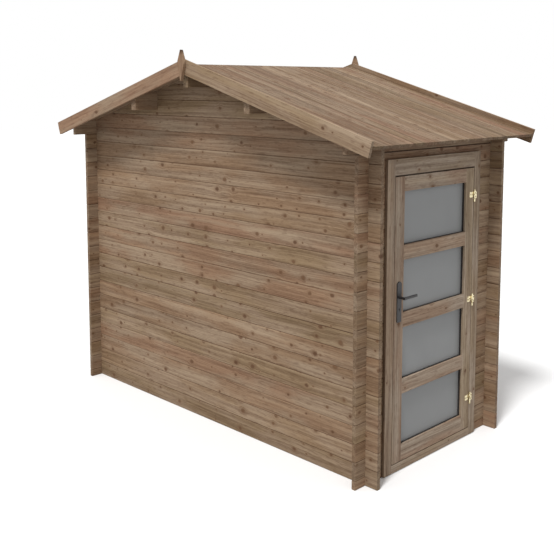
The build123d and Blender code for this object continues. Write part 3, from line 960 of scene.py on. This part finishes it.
class SHED_OT_door_leaf(bpy.types.Operator):
    """Finishes the stiles, the rails and the panes of the door"""

    bl_idname = "shed.door_leaf"
    bl_label = "Door leaf"

    def execute(self, context):
        wood = context.scene.shed_wood
        dress(STILE_NODES, wood_finish("stile_wood", grain_upright, stile_number, wood, wood.door_light,
                                       wood.door_dark, wood.door_knots))
        dress(("door_rails",), wood_finish("rail_wood", grain_along_y, rail_number, wood, wood.door_light,
                                           wood.door_dark, wood.door_knots))
        metal = context.scene.shed_metal
        dress(("door_panes",), self.frosted(metal))
        seals = bmesh.new()
        for index in range(PANES):
            self.seal(seals, metal, glass_low.z + GLASS_BITE + index * pane_pitch)
        show("pane_seals", seals, metal_finish("seal_rubber", metal.seal, 0.0, 0.75), DOOR)
        return {"FINISHED"}

    def seal(self, mesh, metal, bottom):
        """The rubber seal round one opening, from the face of the pane to the back of the wood's lip."""
        x0 = glass_high.x
        x1 = leaf_high.x - metal.seal_setback
        left = glass_low.y + GLASS_BITE
        right = glass_high.y - GLASS_BITE
        top = bottom + pane_pitch - RAIL_HEIGHT
        lip = metal.seal_thickness
        sides = ((left, left + lip, bottom, top), (right - lip, right, bottom, top),
                 (left + lip, right - lip, bottom, bottom + lip), (left + lip, right - lip, top - lip, top))
        for y0, y1, z0, z1 in sides:
            outline = ((y0, z0), (y1, z0), (y1, z1), (y0, z1))
            bar(mesh, [(x0, y, z) for y, z in outline], [(x1, y, z) for y, z in outline])

    def frosted(self, metal):
        """Frosted pane: a dull grey sheet with a very faint cloudiness and fine pitting."""
        finish = Finish("frosted_pane")
        cloud = finish.speckle(4.0)
        pit = finish.speckle(1400.0, 1.0)
        paler = opaque([part * 1.05 for part in metal.pane])
        colour = finish.mix(cloud.step(0.3, 0.7), opaque(metal.pane), paler)
        return finish.surface(Base_Color=colour, Roughness=metal.pane_roughness + cloud * 0.04, Alpha=0.96,
                              Specular_IOR_Level=0.5, Normal=finish.bump(pit, 0.00006, 0.3))


class SHED_OT_hinges(bpy.types.Operator):
    """Finishes the hinges and adds their screws"""

    bl_idname = "shed.hinges"
    bl_label = "Hinges"

    def execute(self, context):
        metal = context.scene.shed_metal
        brass = self.mottled(metal)
        dress(HINGE_NODES, brass)
        screw = metal_finish("screw_steel", metal.screw, 0.8, 0.45)
        for name, body in HINGE_NODES.items():
            heads = bmesh.new()
            for height in hinge_heights:
                for out, up in HINGE_SCREWS[name]:
                    place = Vector((leaf_high.x + HINGE_PLATE, swing_pin.y + out, height + up))
                    dome(heads, place, (1.0, 0.0, 0.0), metal.screw_radius, SCREW_HEIGHT)
            show(f"{name}_screws", heads, screw, body)
        return {"FINISHED"}

    def mottled(self, metal):
        """Bright brass with darker spots: painted shade and dark reflections, which also stand for tarnish.
        """
        finish = Finish("brass")
        x, y, z = finish.place()
        spot = finish.speckle(120.0)
        scratch = finish.noise(x * 300.0, y * 300.0, z * 2400.0)
        colour = finish.mix(spot.step(0.5, 0.62) * 0.75, opaque(metal.brass), opaque(metal.tarnish_and_painted_shade))
        return finish.surface(Base_Color=colour, Metallic=0.85, Roughness=spot * 0.3 + 0.12,
                              Normal=finish.bump(scratch, 0.00005, 0.5))


class SHED_OT_handle(bpy.types.Operator):
    """Finishes the lever handle and its two plates"""

    bl_idname = "shed.handle"
    bl_label = "Lever handle"

    def execute(self, context):
        metal = context.scene.shed_metal
        finish = Finish("black_paint")
        grit = finish.speckle(1100.0)
        smear = finish.speckle(30.0, 3.0)
        black = opaque(metal.black)
        worn = opaque([part * 1.6 for part in metal.black])
        dress(HANDLE_NODES, finish.surface(Base_Color=finish.mix(smear.step(0.5, 0.8) * 0.5, black, worn),
                                           Roughness=0.3 + smear * 0.22, Metallic=0.15,
                                           Normal=finish.bump(grit, 0.00007, 0.6)))
        return {"FINISHED"}


class SHED_OT_stage(bpy.types.Operator):
    """Sets the floor, the lights, the world and the camera"""

    bl_idname = "shed.stage"
    bl_label = "Stage"

    def execute(self, context):
        stage = context.scene.shed_stage
        self.lay_floor(context, stage)
        self.light(context, stage)
        self.aim(context, stage)
        context.scene.view_settings.view_transform = "Standard"
        return {"FINISHED"}

    def lay_floor(self, context, stage):
        """A round floor that the camera sees as white, and that sends less light back up."""
        mesh = bmesh.new()
        bmesh.ops.create_circle(mesh, cap_ends=True, segments=96, radius=stage.floor_radius)
        data = bpy.data.meshes.new("floor")
        mesh.to_mesh(data)
        mesh.free()
        floor = bpy.data.objects.new("floor", data)
        context.scene.collection.objects.link(floor)
        finish = Finish("floor_paint")
        colour = finish.mix(finish.seen(), opaque(stage.floor), (1.0, 1.0, 1.0, 1.0))
        finish.close(finish.node("ShaderNodeBsdfDiffuse", {}, {"Color": colour}))
        data.materials.append(finish.material)

    def light(self, context, stage):
        """Even light from all round, and a steep key light from the gable side."""
        sky = Finish("studio", bpy.data.worlds)
        strength = sky.node("ShaderNodeMapRange", {},
                            {"Value": sky.seen(), "To Min": stage.ambient, "To Max": 1.0})
        sky.close(sky.node("ShaderNodeBackground", {}, {"Color": (1.0, 1.0, 1.0, 1.0), "Strength": strength}),
                  "ShaderNodeOutputWorld")
        context.scene.world = sky.material
        lamp = bpy.data.lights.new("key_light", "SUN")
        lamp.energy = stage.key
        lamp.angle = stage.key_softness
        key = bpy.data.objects.new("key_light", lamp)
        key.rotation_euler = Vector(stage.key_travel).to_track_quat("-Z", "Y").to_euler()
        context.scene.collection.objects.link(key)

    def aim(self, context, stage):
        """A camera at the photograph's viewing angle, with a little shift for its upright verticals."""
        data = bpy.data.cameras.new("camera")
        data.sensor_width = SENSOR_WIDTH
        data.lens = stage.camera_lens
        data.shift_y = stage.camera_shift
        data.clip_end = VIEW_REACH
        camera = bpy.data.objects.new("camera", data)
        camera.location = stage.camera_place
        camera.rotation_euler = (pi / 2 - stage.camera_dip, 0.0, stage.camera_turn)
        context.scene.collection.objects.link(camera)
        context.scene.camera = camera


SETTINGS = {
    "shed_wood": ShedWood,
    "shed_roof": ShedRoof,
    "shed_metal": ShedMetal,
    "shed_stage": ShedStage,
}
MAKERS = (SHED_OT_stage, SHED_OT_wall_logs, SHED_OT_roof_trim, SHED_OT_finials, SHED_OT_roof_boards,
          SHED_OT_door_frame, SHED_OT_door_leaf, SHED_OT_hinges, SHED_OT_handle)


class SHED_PT_looks(bpy.types.Panel):
    """Lists the makers of the shed's looks and their sizes and colours"""

    bl_idname = "SHED_PT_looks"
    bl_label = "Log shed"
    bl_space_type = "VIEW_3D"
    bl_region_type = "UI"
    bl_category = "Shed"

    def draw(self, context):
        """Lists the makers, then the settings of each group."""
        for maker in MAKERS:
            self.layout.operator(maker.bl_idname)
        for name, group in SETTINGS.items():
            box = self.layout.box()
            for setting in group.__annotations__:
                box.prop(getattr(context.scene, name), setting)


def register():
    """Registers the classes and gives the scene its settings."""
    for group in (*SETTINGS.values(), *MAKERS, SHED_PT_looks):
        bpy.utils.register_class(group)
    for name, group in SETTINGS.items():
        setattr(bpy.types.Scene, name, PointerProperty(type=group))


def unregister():
    """Takes the settings and the classes away again."""
    for name in SETTINGS:
        delattr(bpy.types.Scene, name)
    for group in reversed((*SETTINGS.values(), *MAKERS, SHED_PT_looks)):
        bpy.utils.unregister_class(group)


def main():
    register()
    for maker in MAKERS:
        group, name = maker.bl_idname.split(".")
        getattr(getattr(bpy.ops, group), name)()


if __name__ == "__main__":
    main()
